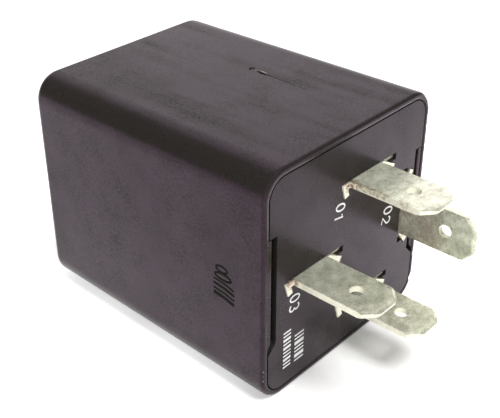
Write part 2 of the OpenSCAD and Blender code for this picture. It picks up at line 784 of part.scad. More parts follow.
// A shrunk sleeve that is drawn in over both ends of the can.
module capacitor_sleeve() {
    skin = 0.1;
    low = -skin;
    top = can_h + 0.12;
    inner_r = can_r + 0.02;
    outer_r = can_r + sleeve_t;
    color([0.12, 0.14, 0.3]) at_can() rotate_extrude() polygon([
        [can_r - 0.5, low], [inner_r, low], [outer_r, low + 0.2], [outer_r, top - 0.32],
        [can_r - 0.1, top], [can_r - 1, top], [can_r - 1, top - skin], [can_r - 0.15, top - skin],
        [inner_r, top - 0.37], [inner_r, 0], [can_r - 0.5, low + 0.09]]);
}

module capacitor_leads() {
    color([0.78, 0.78, 0.74]) for (p = can_leads) rod(can_low_x - 2.6, lead_end_x, lead_r, p);
}

film_w = 7.2;
film_t = 2.5;
film_h = 6.5;
film_low_x = board_x - 0.2;

module film_capacitor() {
    corner = 0.3;
    color([0.62, 0.12, 0.1]) slab(film_low_x - film_h, film_low_x)
        translate(film_at) rounded_square(film_w, film_t, corner);
}

module film_capacitor_leads() {
    color([0.78, 0.78, 0.74]) for (p = film_leads) rod(film_low_x, lead_end_x, lead_r, p);
}

// A thick resistance wire bridges two pads; its voltage drop shows a failed lamp.
module current_shunt() {
    top_x = board_x - 4.2;
    color([0.6, 0.5, 0.38]) lead_pair(shunt_at, 0, shunt_pitch, 0, top_x, shunt_r);
}

cover();
base_plate();
blade_ground();
blade_output();
blade_pilot_lamp();
blade_supply();
circuit_board();
solder_joints();
relay_yoke();
coil_core();
coil_bobbin();
coil_winding();
coil_pins();
armature();
contact_leaf();
leaf_rivets();
moving_contact();
return_spring();
contact_braid();
fixed_contact_post();
fixed_contact();
armature_stop();
flasher_chip();
flasher_chip_pins();
capacitor_can();
capacitor_foil_roll();
capacitor_bung();
capacitor_sleeve();
capacitor_leads();
film_capacitor();
film_capacitor_leads();
resistors();
resistor_leads();
flyback_diode();
flyback_diode_leads();
current_shunt();
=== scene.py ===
"""Looks of a plug-in flasher relay: a drawn black cover, a base plate with four push-on
blades, and the open relay and timing circuit inside. Sizes are in millimetres, in the
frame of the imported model, and are turned into metres where a mesh is made."""
import math
import random

import bpy
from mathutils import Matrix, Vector


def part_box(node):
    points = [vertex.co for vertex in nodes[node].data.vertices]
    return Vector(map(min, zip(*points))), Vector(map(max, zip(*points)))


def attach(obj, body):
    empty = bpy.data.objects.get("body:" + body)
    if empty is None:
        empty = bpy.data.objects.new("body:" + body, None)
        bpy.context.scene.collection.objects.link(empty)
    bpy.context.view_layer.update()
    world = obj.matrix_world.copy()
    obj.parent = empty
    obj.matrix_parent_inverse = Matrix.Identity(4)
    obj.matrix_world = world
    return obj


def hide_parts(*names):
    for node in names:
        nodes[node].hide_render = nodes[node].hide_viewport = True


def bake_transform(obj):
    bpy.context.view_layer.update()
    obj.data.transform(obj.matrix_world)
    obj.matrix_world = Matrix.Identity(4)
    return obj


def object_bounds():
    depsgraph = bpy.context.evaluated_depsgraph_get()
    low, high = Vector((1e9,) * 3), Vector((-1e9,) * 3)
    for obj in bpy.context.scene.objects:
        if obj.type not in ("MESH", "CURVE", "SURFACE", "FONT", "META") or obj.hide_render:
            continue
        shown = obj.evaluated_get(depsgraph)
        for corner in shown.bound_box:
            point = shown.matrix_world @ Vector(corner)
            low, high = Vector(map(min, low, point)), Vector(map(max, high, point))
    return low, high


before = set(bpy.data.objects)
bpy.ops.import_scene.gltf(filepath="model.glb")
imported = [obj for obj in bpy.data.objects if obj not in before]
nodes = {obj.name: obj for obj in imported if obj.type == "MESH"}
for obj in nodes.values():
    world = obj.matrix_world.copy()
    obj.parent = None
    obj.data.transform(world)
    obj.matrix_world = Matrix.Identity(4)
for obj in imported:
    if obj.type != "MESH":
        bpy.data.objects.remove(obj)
cad_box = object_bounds()

MM = 0.001
scene = bpy.context.scene
X, Y, Z = Vector((1, 0, 0)), Vector((0, 1, 0)), Vector((0, 0, 1))


def node_box(name):
    """Lowest and highest corner of a CAD node, in millimetres."""
    low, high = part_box(name)
    return low / MM, high / MM


def node_middle(name):
    """Middle and half size of a CAD node, in millimetres."""
    low, high = node_box(name)
    return (low + high) / 2, (high - low) / 2


def new_object(name, data):
    """Puts a mesh, light or camera into the scene."""
    made = bpy.data.objects.new(name, data)
    scene.collection.objects.link(made)
    return made


def shaded(colour, share):
    """The colour, darkened to a share of its brightness."""
    return tuple(share * part for part in colour)


# ---------------- materials

def feed(socket, value):
    """Links a socket to another node's output, or sets it to a number, vector or colour."""
    if isinstance(value, bpy.types.NodeSocket):
        socket.id_data.links.new(value, socket)
    elif socket.type == "RGBA":
        socket.default_value = (*value, 1)
    else:
        socket.default_value = value


def add_node(tree, kind, output, inputs, **settings):
    """Adds a node, feeds its inputs and returns one of its outputs."""
    made = tree.nodes.new("ShaderNode" + kind)
    for name, value in settings.items():
        setattr(made, name, value)
    for name, value in inputs.items():
        feed(made.inputs[name], value)
    return made.outputs[output]


class Look:
    """A procedural material: one Principled shader, and what feeds its sockets."""

    def __init__(self, name, **values):
        self.material = bpy.data.materials.new(name)
        self.material.use_nodes = True
        self.tree = self.material.node_tree
        self.shader = self.tree.nodes["Principled BSDF"]
        coordinates = self.tree.nodes.new("ShaderNodeTexCoord").outputs
        self.place, self.facing = coordinates["Object"], coordinates["Normal"]
        for socket, value in values.items():
            self.set(socket.replace("_", " "), value)

    def set(self, socket, value):
        """Feeds a socket of the shader."""
        feed(self.shader.inputs[socket], value)
        return self

    def add(self, kind, output, inputs, **settings):
        return add_node(self.tree, kind, output, inputs, **settings)

    def noise(self, size, detail, stretch=None, rough=0.6):
        """Cloudy noise whose features are about size millimetres. Where stretch is below 1 along
        an axis, they are drawn out along it."""
        place = self.place
        if stretch:
            place = self.add("Mapping", 0, {"Vector": place, "Scale": stretch})
        return self.add("TexNoise", 0, {"Vector": place, "Scale": 1 / (size * MM), "Detail": detail,
                                        "Roughness": rough})

    def cells(self, size):
        """Distance to the middle of scattered cells about size millimetres apart."""
        return self.add("TexVoronoi", 0, {"Vector": self.place, "Scale": 1 / (size * MM)})

    def ramp(self, value, *stops):
        """A colour ramp through (position, colour) stops, or (position, grey) ones."""
        made = self.tree.nodes.new("ShaderNodeValToRGB")
        feed(made.inputs[0], value)
        elements = made.color_ramp.elements
        while len(elements) < len(stops):
            elements.new(0.5)
        for element, (position, colour) in zip(elements, stops):
            element.position = position
            element.color = (*colour, 1) if isinstance(colour, tuple) else (colour, colour, colour, 1)
        return made.outputs[0]

    def math(self, operation, a, b=0.0, clamp=False):
        """A Math node: the operation on two numbers or outputs."""
        return self.add("Math", 0, {0: a, 1: b}, operation=operation, use_clamp=clamp)

    def mix(self, share, a, b):
        """Colour a where share is 0, and b where it is 1."""
        return self.add("Mix", 2, {0: share, 6: a, 7: b}, data_type="RGBA")

    def near(self, spot, radius, soft=0.5):
        """1 within radius millimetres of spot, falling to 0 at (1 + soft) radii."""
        apart = self.add("VectorMath", "Value", {0: self.place, 1: Vector(spot) * MM},
                         operation="DISTANCE")
        return self.add("MapRange", 0, {"Value": apart, "From Min": radius * (1 + soft) * MM,
                                        "From Max": radius * MM})

    def bump(self, *heights):
        """Bumps from (height output, depth in millimetres) pairs."""
        below = {}
        for height, depth in heights:
            inputs = {"Height": height, "Distance": depth * MM, **below}
            below = {"Normal": self.add("Bump", 0, inputs)}
        return self.set("Normal", below["Normal"])


DUST = (0.34, 0.31, 0.29)
SHEEN = (0.3, (0.78, 0.46, 1.0)), (0.5, (1.0, 0.43, 1.0)), (0.7, (1.0, 0.58, 0.76))


def matt_streaks(look, above, handled):
    """How much less glossy a plastic is above a height: in soft streaks along X, and round each
    handled (spot, radius)."""
    most, rubbed_share, soft = 0.15, 0.7, 1.6
    height = look.add("SeparateXYZ", "Z", {"Vector": look.place})
    top_only = look.add("MapRange", 0, {"Value": height, "From Min": above * MM,
                                        "From Max": (above + 0.4) * MM})
    flow = look.noise(2.4, 1.0, stretch=(0.1, 1, 1), rough=0.4)
    streaks = look.ramp(flow, (0.5, 0.0), (0.75, 1.0))
    for spot, radius in handled:
        rubbed = look.math("MULTIPLY", look.near(spot, radius, soft), rubbed_share)
        streaks = look.math("MAXIMUM", streaks, rubbed)
    return look.math("MULTIPLY", top_only, look.math("MULTIPLY", streaks, most))


def moulded_plastic(name, dark, light, ior, gloss=1.0, streak_above=None, handled=()):
    """Satin black thermoplastic with a purple sheen, fine coloured grain and dust. Above the
    height streak_above it has matt streaks and handled spots."""
    look = Look(name, IOR=ior)
    grain = look.noise(0.17, 1.0, rough=0.8)
    other_grain = look.noise(0.2, 1.0, stretch=(1, 1.1, 0.9), rough=0.8)
    cloud = look.noise(4.0, 2.0, rough=0.5)
    level = look.math("ADD", look.ramp(grain, (0.2, 0.0), (0.8, 0.42 * gloss)),
                      look.ramp(cloud, (0.2, 0.0), (0.8, 0.2 * gloss)))
    if streak_above is not None:
        level = look.math("SUBTRACT", level, matt_streaks(look, streak_above, handled), clamp=True)
    tone = look.ramp(grain, (0.25, dark), (0.8, light))
    dust = look.ramp(look.cells(0.9), (0.0, 1.0), (0.045, 0.0))
    sparse = look.ramp(look.noise(2.2, 2.0), (0.6, 0.0), (0.66, 1.0))
    specks = look.math("MULTIPLY", dust, sparse)
    look.set("Base Color", look.mix(specks, tone, DUST))
    look.set("Specular Tint", look.ramp(other_grain, *SHEEN))
    look.set("Specular IOR Level", level)
    look.set("Roughness", look.ramp(cloud, (0.2, 0.23), (0.8, 0.33)))
    return look.bump((look.noise(0.16, 2.0, rough=0.8), 0.003), (look.noise(5.0, 2.0), 0.012)).material


CUT_TIN = (0.84, 0.81, 0.66)


def tin_plate(name, body, shade, rough, flat_axis, dirt_and_shade):
    """Dull tin plating: cloudy and finely pitted. The cut edges, which are what doesn't face along
    flat_axis, are paler and rougher. Each tarnish, grime and rust patch, and the painted shade along
    the ground blade's edge, is (list of (spot, radius), darkest, lightest)."""
    look = Look(name)
    facing = look.add("SeparateXYZ", flat_axis, {"Vector": look.facing})
    cut = look.ramp(look.math("ABSOLUTE", facing), (0.35, 1.0), (0.8, 0.0))
    look.set("Metallic", look.ramp(cut, (0.0, 0.62), (1.0, 0.25)))
    mottle = look.noise(1.3, 6.0, stretch=(1.0, 0.75, 1.0), rough=0.75)
    grain = look.noise(0.16, 3.0, rough=0.8)
    tone = look.ramp(mottle, (0.34, shade), (0.6, body))
    tone = look.mix(look.ramp(grain, (0.35, 0.0), (0.75, 0.3)), tone, shaded(shade, 0.7))
    tone = look.mix(look.math("MULTIPLY", cut, 0.65), tone, CUT_TIN)
    broken = look.ramp(look.noise(0.6, 4.0, rough=0.8), (0.4, 0.0), (0.62, 1.0))
    for spots, *colours in dirt_and_shade:
        dirt_and_shade_mask = look.near(*spots[0])
        for spot, radius in spots[1:]:
            dirt_and_shade_mask = look.math("MAXIMUM", dirt_and_shade_mask, look.near(spot, radius))
        tone = look.mix(look.math("MULTIPLY", dirt_and_shade_mask, broken), tone, look.mix(grain, *colours))
    look.set("Base Color", tone)
    polish = look.ramp(look.noise(0.7, 4.0, rough=0.7), (0.3, rough - 0.08), (0.75, rough + 0.12))
    look.set("Roughness", look.math("ADD", polish, look.math("MULTIPLY", cut, 0.2)))
    return look.bump((grain, 0.0025), (look.noise(1.1, 3.0), 0.007)).material


def plain_metal(name, body, shade, rough, grain, stretch=None, depth=0.004):
    """A metal with drifting tone, fine scratches and slightly uneven polish."""
    look = Look(name, Metallic=1.0)
    drift = look.noise(grain * 4, 3.0)
    marks = look.noise(grain, 4.0, stretch=stretch, rough=0.75)
    tone = look.ramp(drift, (0.3, shade), (0.7, body))
    look.set("Base Color", look.mix(look.ramp(marks, (0.3, 0.35), (0.7, 0.0)), tone, shade))
    look.set("Roughness", look.ramp(marks, (0.25, rough - 0.08), (0.75, rough + 0.1)))
    return look.bump((marks, depth)).material


def plain_plastic(name, body, shade, rough, grain, depth=0.006, **values):
    """A plastic, lacquer or rubber with fine grain and a slow change of tone."""
    look = Look(name, **values)
    fine = look.noise(grain, 3.0, rough=0.7)
    slow = look.noise(grain * 9, 3.0)
    tone = look.mix(look.ramp(slow, (0.3, 0.0), (0.7, 1.0)), shade, body)
    look.set("Base Color", look.mix(look.ramp(fine, (0.35, 0.25), (0.7, 0.0)), tone, shade))
    look.set("Roughness", look.ramp(fine, (0.3, rough - 0.05), (0.7, rough + 0.08)))
    return look.bump((fine, depth)).material


def laminate():
    """Brown phenolic board: paper fibres along the sheet and a mottled resin."""
    look = Look("board_laminate", Coat_Weight=0.15, Coat_Roughness=0.3)
    fibre = look.noise(0.7, 5.0, stretch=(1, 0.25, 1.6), rough=0.7)
    cloud = look.noise(4.0, 3.0)
    tone = look.ramp(fibre, (0.3, (0.27, 0.145, 0.045)), (0.7, (0.42, 0.25, 0.09)))
    look.set("Base Color", look.mix(look.ramp(cloud, (0.4, 0.0), (0.7, 0.4)), tone, (0.2, 0.1, 0.03)))
    look.set("Roughness", look.ramp(fibre, (0.3, 0.42), (0.7, 0.58)))
    return look.bump((fibre, 0.008)).material


FLOOR_GLOW = 0.22
FLOOR_PAINTED_LIGHT_AND_SHADE = (                    # x, y, radius, softness of its edge, change of the glow: painted light where it rises, painted shadow where it falls
    (5, 45, 18, 1.2, 0.45),          # painted light behind the upright blade
    (-50, -4, 9, 1.2, 0.25),         # painted light at the far end
    (5, 0, 5, 2.0, -0.22),           # painted shadow of the blades
    *[(x, -19, 1, 12, 0.4) for x in (-36, -23, -10)],      # painted light along the left side
)


def floor_paper(height):
    """White paper at this height, with a faint tooth. How much it glows changes from place to
    place, as in the photograph: painted light where the glow rises and a painted shadow where it falls."""
    look = Look("floor_paper", Roughness=0.9, Emission_Color=(1.0, 1.0, 0.99))
    glow = FLOOR_GLOW
    for x, y, radius, soft, change in FLOOR_PAINTED_LIGHT_AND_SHADE:
        share = look.near((x, y, height), radius, soft)
        glow = look.math("ADD", look.math("MULTIPLY", share, change), glow)
    # an even glow, with patches of painted light and painted shadow added to it
    look.set("Emission Strength", glow)
    tooth = look.noise(1.5, 4.0)
    look.set("Base Color", look.ramp(tooth, (0.3, 0.86), (0.7, 0.89)))
    return look.bump((tooth, 0.02)).material


BLADE_T = 0.8
SHOULDER = 2.1                       # how far a blade is wider inside the plate than outside
TOP_STREAKS = 15.0                   # height above which the cover is streaked
HANDLED = (                          # spots on the cover's top, and their radii
    ((-36.5, -7.5, 15.3), 3.5), ((-31.0, -8.5, 15.3), 2.6), ((-26.0, -8.0, 15.3), 1.8))
# places and radius of grime and painted shade along the ground blade's near top edge
GRIME_AND_SHADE_X = (1.3, 2.2, 3.1, 4.0, 5.0, 7.6)
GRIME_AND_SHADE_R = 0.42

ground_low, ground_high = node_box("blade_ground")
pilot_low, pilot_high = node_box("blade_pilot_lamp")
output_low = node_box("blade_output")[0]
ground_edge = ground_low.y + SHOULDER
ground_root = (0.35, ground_edge - 0.15, ground_high.z - BLADE_T / 2)
pilot_root = (0.25, pilot_low.y + SHOULDER - 0.5, pilot_high.z - BLADE_T / 2)
output_root = (1.0, output_low.y, node_middle("blade_output")[0].z - 1.5)
edge_grime_and_shade_spots = [((x, ground_edge, ground_high.z - 0.15), GRIME_AND_SHADE_R) for x in GRIME_AND_SHADE_X]
STAINS_AND_SHADE = (                           # spots with their radii, darkest and lightest colour
    ([(output_root, 4.2)], (0.42, 0.33, 0.24), (0.62, 0.52, 0.42)),    # tarnish
    (edge_grime_and_shade_spots, (0.2, 0.15, 0.08), (0.4, 0.33, 0.2)),                 # grime and painted shade along the ground blade's near edge
    ([(ground_root, 0.8), (pilot_root, 0.6)], (0.1, 0.03, 0.015), (0.26, 0.09, 0.045)),    # rust
)
TIN, TIN_SHADE = (0.97, 0.99, 0.8), (0.47, 0.485, 0.37)
BLADES = {                           # brightness of each blade's copy of the tin, lower on the pilot blade as painted shade, and the axis that the flat side faces
    "blade_ground": (1.0, "Z"),
    "blade_output": (0.98, "Y"),
    # painted shade: the pilot blade's copy of the tin is darker
    "blade_pilot_lamp": (0.8, "Z"),
    "blade_supply": (0.98, "Z"),
}

COVER_PLASTIC = moulded_plastic("cover_plastic", (0.0125, 0.012, 0.0085), (0.0215, 0.019, 0.0175),
                                1.42, streak_above=TOP_STREAKS, handled=HANDLED)
BASE_PLASTIC = moulded_plastic("base_plastic", (0.013, 0.013, 0.009), (0.024, 0.022, 0.021),
                               1.47, gloss=0.72)
BLADE_TINS = {
    blade: tin_plate(blade + "_tin", shaded(TIN, share), shaded(TIN_SHADE, share), 0.27, flat_axis,
                     STAINS_AND_SHADE)
    for blade, (share, flat_axis) in BLADES.items()}
# a paler copy of the tin for the blades' rounded edges: a painted highlight along them
BLADE_EDGE_HIGHLIGHT = tin_plate("blade_edge_highlight", (0.95, 0.93, 0.82), (0.7, 0.67, 0.55), 0.3, "Z", STAINS_AND_SHADE)
STEEL = plain_metal("zinc_plated_steel", (0.62, 0.6, 0.52), (0.42, 0.41, 0.36), 0.36, 0.6)
CORE_STEEL = plain_metal("core_steel", (0.52, 0.51, 0.5), (0.36, 0.35, 0.34), 0.34, 0.4)
SOLDER = plain_metal("solder", (0.78, 0.78, 0.76), (0.5, 0.5, 0.5), 0.26, 0.3, depth=0.02)
TINNED = plain_metal("tinned_wire", (0.76, 0.75, 0.71), (0.52, 0.52, 0.49), 0.3, 0.15)
WIRE_STEEL = plain_metal("spring_wire", (0.6, 0.6, 0.6), (0.36, 0.36, 0.37), 0.24, 0.1)
BRONZE = plain_metal("spring_bronze", (0.72, 0.42, 0.2), (0.52, 0.28, 0.12), 0.3, 0.5, (0.2, 1, 1))
BRASS = plain_metal("strip_brass", (0.78, 0.56, 0.22), (0.56, 0.38, 0.13), 0.32, 0.5, (0.15, 1, 1))
SILVER = plain_metal("contact_silver", (0.88, 0.87, 0.84), (0.62, 0.6, 0.57), 0.3, 0.2)
ALUMINIUM = plain_metal("aluminium", (0.82, 0.83, 0.85), (0.62, 0.63, 0.65), 0.3, 0.4, (0.1, 1, 1))
ALLOY = plain_metal("shunt_alloy", (0.42, 0.33, 0.25), (0.24, 0.18, 0.14), 0.42, 0.25)
COPPER = plain_metal("braid_copper", (0.76, 0.36, 0.2), (0.46, 0.18, 0.09), 0.34, 0.12)
TRACK = plain_metal("track_copper", (0.7, 0.4, 0.24), (0.45, 0.25, 0.14), 0.4, 0.5)
ENAMEL = plain_plastic("enamelled_copper", (0.42, 0.09, 0.025), (0.25, 0.045, 0.012), 0.3, 0.1,
                       Metallic=0.65, Coat_Weight=0.6, Coat_Roughness=0.15)
NYLON = plain_plastic("bobbin_nylon", (0.8, 0.76, 0.64), (0.66, 0.61, 0.49), 0.45, 0.4,
                      Subsurface_Weight=0.15, Subsurface_Scale=0.001)
EPOXY = plain_plastic("chip_epoxy", (0.03, 0.03, 0.032), (0.014, 0.014, 0.015), 0.55, 0.1, 0.01)
SLEEVE = plain_plastic("sleeve_blue", (0.02, 0.04, 0.16), (0.012, 0.022, 0.1), 0.28, 0.5)
STRIPE = plain_plastic("sleeve_stripe", (0.72, 0.74, 0.78), (0.56, 0.58, 0.62), 0.32, 0.3)
RUBBER = plain_plastic("bung_rubber", (0.03, 0.03, 0.03), (0.016, 0.016, 0.016), 0.75, 0.15)
FILM = plain_plastic("film_epoxy", (0.36, 0.03, 0.018), (0.24, 0.016, 0.01), 0.22, 0.8, 0.02)
LACQUER = plain_plastic("resistor_lacquer", (0.66, 0.5, 0.3), (0.52, 0.37, 0.2), 0.3, 0.2)
BANDS = [plain_plastic("band_" + name, colour, shaded(colour, 0.6), 0.32, 0.2) for name, colour in (
    ("brown", (0.16, 0.05, 0.02)), ("green", (0.03, 0.2, 0.06)), ("orange", (0.75, 0.2, 0.02)),
    ("gold", (0.6, 0.42, 0.12)))]
DIODE = plain_plastic("diode_epoxy", (0.03, 0.03, 0.033), (0.015, 0.015, 0.017), 0.3, 0.2)
DIODE_BAND = plain_plastic("diode_band", (0.7, 0.7, 0.68), (0.55, 0.55, 0.53), 0.35, 0.2)
WHITE_INK = plain_plastic("white_ink", (0.86, 0.87, 0.86), (0.6, 0.6, 0.6), 0.5, 0.2, 0.01)
# near black, for dark marks and for the painted shade in the capacitor can's score
DARK_INK_AND_SHADE = plain_plastic("dark_ink_and_shade", (0.008, 0.008, 0.007), (0.004, 0.004, 0.004), 0.6, 0.2, 0.01,
                         Specular_IOR_Level=0.06)
STAMP_INK = plain_plastic("stamp_ink", (0.01, 0.0105, 0.008), (0.004, 0.0045, 0.003), 0.55, 0.2, 0.01,
                          Specular_IOR_Level=0.03)
SCRAPED = plain_plastic("scraped_plastic", (0.42, 0.34, 0.28), (0.18, 0.15, 0.13), 0.6, 0.12, 0.02)
FLECK = plain_plastic("torn_flash", (0.62, 0.6, 0.55), (0.3, 0.28, 0.25), 0.6, 0.1)
LEGEND = plain_plastic("board_legend", (0.78, 0.75, 0.6), (0.6, 0.56, 0.42), 0.6, 0.3, 0.01)
BOARD = laminate()


# ---------------- shapes

class Shape:
    """Points and faces of a mesh under construction, each face with a material number."""

    def __init__(self):
        self.points, self.faces, self.looks = [], [], []

    def add(self, points, faces, look=0):
        start = len(self.points)
        self.points += [Vector(p) for p in points]
        self.faces += [[start + i for i in face] for face in faces]
        self.looks += list(look) if isinstance(look, list) else [look] * len(faces)
        return self

    def piece(self, name, looks, slot, body, stands_for=(), sharp=35):
        """Makes the mesh object, smooth but for edges sharper than sharp degrees."""
        mesh = bpy.data.meshes.new(name)
        mesh.from_pydata([p * MM for p in self.points], [], self.faces)
        for look in looks:
            mesh.materials.append(look)
        mesh.polygons.foreach_set("material_index", self.looks)
        mesh.shade_smooth()
        mesh.set_sharp_from_angle(angle=math.radians(sharp))
        made = new_object(name, mesh)
        if body:
            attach(made, body)
        if stands_for:
            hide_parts(*stands_for)
        return made


def rings_to_faces(count, size, closed_along=False, caps=True):
    """Faces that join count rings of size points each."""
    spans = count if closed_along else count - 1
    faces = [[r * size + k, r * size + (k + 1) % size, (r + 1) % count * size + (k + 1) % size,
              (r + 1) % count * size + k] for r in range(spans) for k in range(size)]
    if caps and not closed_along:
        faces += [list(reversed(range(size))), [(count - 1) * size + k for k in range(size)]]
    return faces


def direction(path, i, closed=False):
    """Which way a path of vectors runs at its point i."""
    if closed:
        return (path[(i + 1) % len(path)] - path[i - 1]).normalized()
    return (path[min(i + 1, len(path) - 1)] - path[max(i - 1, 0)]).normalized()


def sweep(path, wide, thick, up=None, sides=8, closed=False, taper=None):
    """Points and faces of a tube of oval section along a path. wide and thick are half its width
    and thickness, which taper scales point by point. With up, the section lies flat on the
    surface whose normal is up; without, it turns as little as it can."""
    path = [Vector(p) for p in path]
    scales = taper or [1.0] * len(path)
    across = None
    points = []
    for i, at in enumerate(path):
        along = direction(path, i, closed)
        if up is not None:
            across = up.cross(along).normalized()
        elif across is None:
            across = along.orthogonal().normalized()
        else:
            across = (across - across.dot(along) * along).normalized()
        over = along.cross(across)
        for k in range(sides):
            a = 2 * math.pi * (k + 0.5) / sides
            points.append(at + scales[i] * (wide * math.cos(a) * across + thick * math.sin(a) * over))
    return points, rings_to_faces(len(path), sides, closed)


def turned(profile, middle, axis, segments, looks=None):
    """Turns (along, radius) points about an axis through middle. Returns points, faces and their
    material numbers, which looks gives for each step of the profile."""
    u = Y if axis == X else (Z if axis == Y else X)
    v = axis.cross(u)
    points = [Vector(middle) + along * axis + radius * (math.cos(a) * u + math.sin(a) * v)
              for along, radius in profile
              for a in [2 * math.pi * k / segments for k in range(segments)]]
    faces = rings_to_faces(len(profile), segments)
    steps = looks or [0] * (len(profile) - 1)
    numbers = [n for n in steps for _ in range(segments)] + [steps[0], steps[-1]]
    return points, faces, numbers


def about_x(x, middle, radius, angle):
    """A point at x on a circle round the line along X through middle."""
    return (x, middle.y + radius * math.cos(angle), middle.z + radius * math.sin(angle))


def arc(middle, rx, ry, start, end, steps):
    """Points (x, y) along an elliptic arc, angles in degrees."""
    angles = [math.radians(start + (end - start) * k / steps) for k in range(steps + 1)]
    return [(middle[0] + rx * math.cos(a), middle[1] + ry * math.sin(a)) for a in angles]


def swell(steps, ends):
    """A taper that grows from ends to 1 in the middle and back."""
    return [ends + (1 - ends) * math.sin(math.pi * k / steps) for k in range(steps + 1)]


def rounded_rectangle(w, h, r, arc_steps=10, side_steps=72):
    """Points round a rounded rectangle, as (y, z), with the straight sides divided."""
    corners = [(1, 1, 0), (-1, 1, 90), (-1, -1, 180), (1, -1, 270)]

    def on_corner(corner, turn):
        sy, sz, start = corner
        a = math.radians(start + turn)
        return sy * (w / 2 - r) + r * math.cos(a), sz * (h / 2 - r) + r * math.sin(a)

    points = []
    for number, corner in enumerate(corners):
        points += [on_corner(corner, 90 * k / arc_steps) for k in range(arc_steps + 1)]
        y0, z0 = points[-1]
        y1, z1 = on_corner(corners[(number + 1) % 4], 0)
        for k in range(1, side_steps):
            t = k / side_steps
            points.append((y0 + (y1 - y0) * t, z0 + (z1 - z0) * t))
    return points


WELD_M = 1e-6                        # points closer than this, in metres, are one
FLAT_DEGREES = 0.8
EDGE_DEGREES = 38


def soften(name, width, looks, segments=2):
    """Breaks the sharp edges of a CAD node and gives it its look. A second one is for the edges."""
    node = nodes[name]
    node.modifiers.new("weld", "WELD").merge_threshold = WELD_M
    flat = node.modifiers.new("flat", "DECIMATE")
    flat.decimate_type = "DISSOLVE"
    flat.angle_limit = math.radians(FLAT_DEGREES)
    edge = node.modifiers.new("edge", "BEVEL")
    edge.width = width * MM
    edge.segments = segments
    edge.limit_method = "ANGLE"
    edge.angle_limit = math.radians(EDGE_DEGREES)
    if len(looks) > 1:
        edge.material = 1
    node.modifiers.new("normals", "WEIGHTED_NORMAL").keep_sharp = False
    node.data.materials.clear()
    for look in looks:
        node.data.materials.append(look)


# ---------------- cover

CASE_W = 31.5
CORNER_R = 3.5
END_ROUND = 1.25
DRAFT_Y, DRAFT_Z = 0.9, 0.74
RIM_WALL, SIDE_WALL, END_WALL = 0.9, 1.2, 1.4
RIM_IN = CASE_W / 2 - RIM_WALL
LEDGE_X = -2.7
PAD_T, PAD_W = 0.7, 15.0
RIM_START = -0.5
RIM_EDGE = [(-0.3, 0.04), (-0.13, 0.14), (-0.03, 0.28), (0, 0.42)]
SINK = 0.09                          # how far the middle of each long face has sunk
CASE_LEN = -node_box("cover")[0].x
SKIN_FAR = END_ROUND - CASE_LEN      # where the long faces end, before the rounded end


def sunk(depth, across, wide):
    """How far a face has sunk at a place across it, when its middle has sunk by depth."""
    return depth * max(0.0, 1 - (2 * across / wide) ** 2)


def cover_ring(x, inset, sink=0.0):
    """One ring of the drafted cover at x, pulled in by inset, its four faces sunk a little."""
    least_r, near = 0.3, 0.01
    share = -x / CASE_LEN
    w = CASE_W - DRAFT_Y * share - 2 * inset
    h = CASE_W - DRAFT_Z * share - 2 * inset
    ring = []
    for y, z in rounded_rectangle(w, h, max(CORNER_R - inset, least_r)):
        fall_y = sunk(sink, z, h - CORNER_R) if abs(y) > w / 2 - near else 0
        fall_z = sunk(sink, y, w - CORNER_R) if abs(z) > h / 2 - near else 0
        ring.append((x, y - math.copysign(fall_y, y), z - math.copysign(fall_z, z)))
    return ring


def cover_rings():
    """Rings from the middle of the closed end round the outside and back down the inside."""
    rings = [cover_ring(-CASE_LEN, inset) for inset in (13.0, 9.0, 5.0)]
    for degrees in range(90, -1, -10):
        a = math.radians(degrees)
        rings.append(cover_ring(END_ROUND * (1 - math.sin(a)) - CASE_LEN, END_ROUND * (1 - math.cos(a))))
    steps = 14
    for k in range(1, steps):
        t = k / steps
        rings.append(cover_ring(SKIN_FAR + (RIM_START - SKIN_FAR) * t, 0, SINK * math.sin(math.pi * t)))
    rings.append(cover_ring(RIM_START, 0))
    rings += [ragged(cover_ring(x, inset)) for x, inset in RIM_EDGE]
    for x, grow in ((0, 0.1), (-0.1, 0.0), (LEDGE_X, 0.0)):
        side = 2 * (RIM_IN + grow)
        corner_r = CORNER_R - RIM_WALL + grow
        rings.append([(x, y, z) for y, z in rounded_rectangle(side, side, corner_r)])
    end_x, fillet = END_WALL - CASE_LEN, 0.4
    inside = ((LEDGE_X, SIDE_WALL), (end_x + fillet, SIDE_WALL), (end_x, SIDE_WALL + fillet),
              (end_x, 7.0), (end_x, 13.0))
    return rings + [cover_ring(x, inset) for x, inset in inside]


def ragged(ring):
    """Wears a rim ring away a little along the lower right edge and at the upper right corner."""
    right_y, outer_y, low_z, high_z = 14.6, 15, -4.5, 6
    worn = []
    for k, (x, y, z) in enumerate(ring):
        bite = math.modf(abs(math.sin(k // 2 * 12.99) * 437.6))[0] ** 3     # a repeatable scatter
        cluster = max(0.0, math.sin(1.9 * z) + math.sin(4.3 * z + 2)) / 2
        share = 0.0
        if y > right_y:
            share = 1.0 if z < low_z else (0.3 if z > high_z else 0.0)
        depth = share * (0.12 + cluster) * bite
        worn.append((x - 0.3 * depth, y - 0.25 * depth * (y > outer_y), z))
    return worn


def guide_pad(side):
    """A pad inside the rim: square above, sloped below, its free edges rounded."""
    outer_y = CASE_W / 2 - 0.5
    inner_y = RIM_IN - PAD_T
    top, slope_start, round_r = PAD_W / 2, -PAD_W / 2 + 0.4, 0.15
    profile = [(outer_y, top), (inner_y + round_r, top), (inner_y, top - round_r),
               (inner_y, slope_start + round_r), (inner_y + round_r, slope_start - round_r),
               (outer_y, -PAD_W / 2 - 1)]
    sections = [(-8.0, 0.1), (-7.9, 0.0), (-0.25, 0.0), (-0.1, 0.15)]
    points = [(x, side * min(y + inset, outer_y), z) for x, inset in sections for y, z in profile]
    faces = rings_to_faces(len(sections), len(profile))
    return points, faces if side > 0 else [face[::-1] for face in faces]


